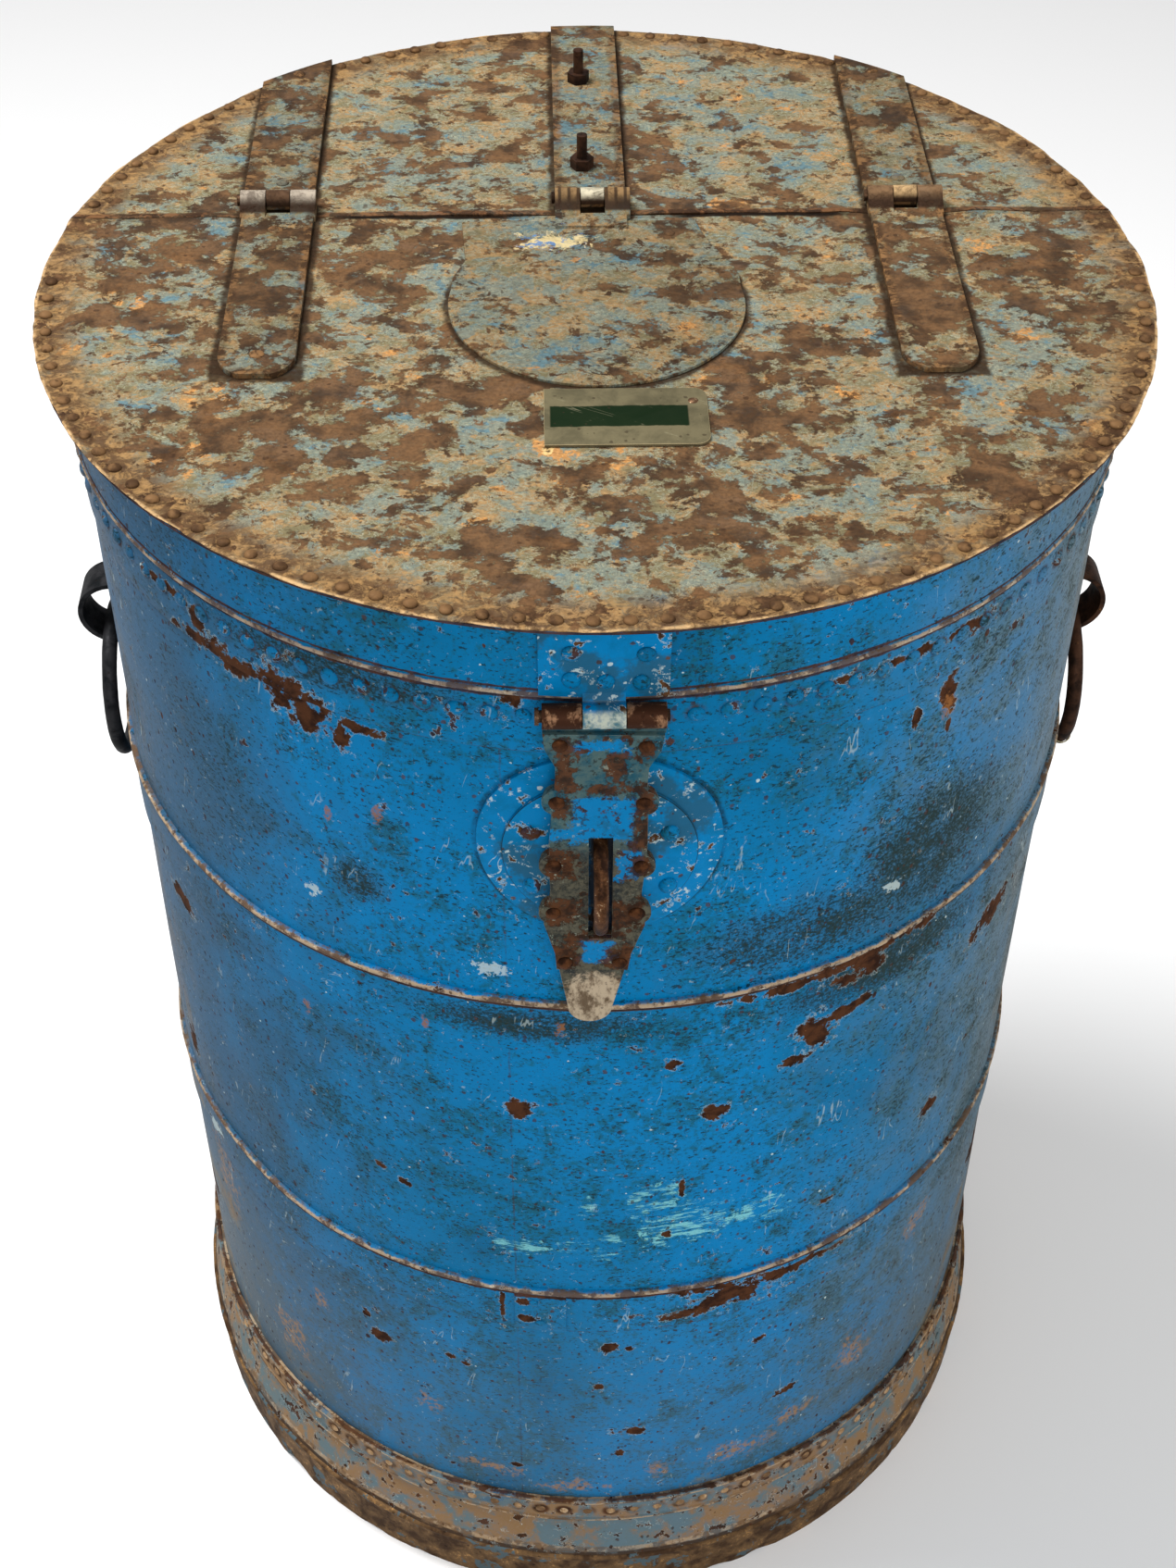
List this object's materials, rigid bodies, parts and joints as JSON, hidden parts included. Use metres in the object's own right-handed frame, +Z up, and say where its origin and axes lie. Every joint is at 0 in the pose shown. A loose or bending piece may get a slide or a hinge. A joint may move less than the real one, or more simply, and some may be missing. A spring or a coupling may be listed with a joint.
{
  "type": "riveted storage drum",
  "caption": "Tall round sheet-iron drum with rivet bands, hoops, a flared foot, a hinged half lid with hasp and staple, and swinging ring handles.",
  "frame": {"origin": "centre of the foot's lower rim, on the floor", "axes": "+Z up along the drum, the hasp faces -Y, the lid's hinge line runs along X"},
  "size_m": [0.62, 0.618, 0.911],
  "materials": {
    "blue_paint": "chipped and scratched blue paint over rusting sheet iron",
    "worn_blue": "worn blue paint with rust at every edge",
    "patina_top": "mottled grey-green paint worn to brown and ochre rust",
    "rusty_iron": "dark brown rusted wrought iron, rubbed bright on edges",
    "bare_rust": "rusted bare sheet iron",
    "tag_metal": "dull olive-grey worn plate, blank",
    "pale_binding": "pale worn strip"
  },
  "bodies": {
    "drum": {"body_shell": "blue_paint", "mouth_ring": "bare_rust", "collar_band": "blue_paint", "collar_rivets": "worn_blue", "upper_hoop": "blue_paint", "lower_hoop": "blue_paint", "lower_hoop_rivets": "worn_blue", "base_hoop": "worn_blue", "base_rivets": "worn_blue", "base_skirt": "blue_paint", "base_skirt_rivets": "worn_blue", "foot_ring": "bare_rust", "bottom_head": "bare_rust", "rear_top_plate": "patina_top", "rear_rim_angle": "blue_paint", "rear_rim_rivets": "worn_blue", "rear_strap_left": "patina_top", "rear_strap_middle": "patina_top", "rear_strap_right": "patina_top", "rear_strap_rivets": "rusty_iron", "strap_bolts": "rusty_iron", "strap_nuts": "rusty_iron", "hinge_pins": "rusty_iron", "handle_eye_left": "rusty_iron", "handle_eye_right": "rusty_iron", "handle_eye_rivets": "rusty_iron", "staple_plate_outer": "blue_paint", "staple_plate_inner": "blue_paint", "staple_plate_rivets": "worn_blue", "staple": "rusty_iron"},
    "lid": {"lid_plate": "patina_top", "lid_skirt": "blue_paint", "lid_rim_rivets": "worn_blue", "centre_plate": "patina_top", "centre_plate_rivets": "worn_blue", "lid_strap_left": "patina_top", "lid_strap_right": "patina_top", "lid_strap_rivets": "rusty_iron", "tag_plate": "tag_metal", "tag_pin": "rusty_iron", "hasp_hanger": "blue_paint", "hasp_hanger_rivets": "worn_blue", "hasp_pin": "rusty_iron"},
    "hasp": {"hasp_strap": "rusty_iron", "hasp_overlay": "blue_paint", "hasp_rivets": "rusty_iron"},
    "left_ring": {"ring_left": "rusty_iron"},
    "right_ring": {"ring_right": "rusty_iron", "ring_binding": "pale_binding"}
  },
  "joints": [
    {"name": "lid_hinge", "type": "hinge", "parent": "drum", "child": "lid", "pos_m": [0, 0.075, 0.894], "axis": [-1, 0, 0], "range_deg": [0, 150]},
    {"name": "hasp_swing", "type": "hinge", "parent": "lid", "child": "hasp", "pos_m": [0, -0.2955, 0.8335], "axis": [-1, 0, 0], "range_deg": [0, 150]},
    {"name": "left_ring_swing", "type": "hinge", "parent": "drum", "child": "left_ring", "pos_m": [-0.292, 0, 0.657], "axis": [0, 1, 0], "range_deg": [0, 150]},
    {"name": "right_ring_swing", "type": "hinge", "parent": "drum", "child": "right_ring", "pos_m": [0.292, 0, 0.657], "axis": [0, -1, 0], "range_deg": [0, 150]}
  ]
}
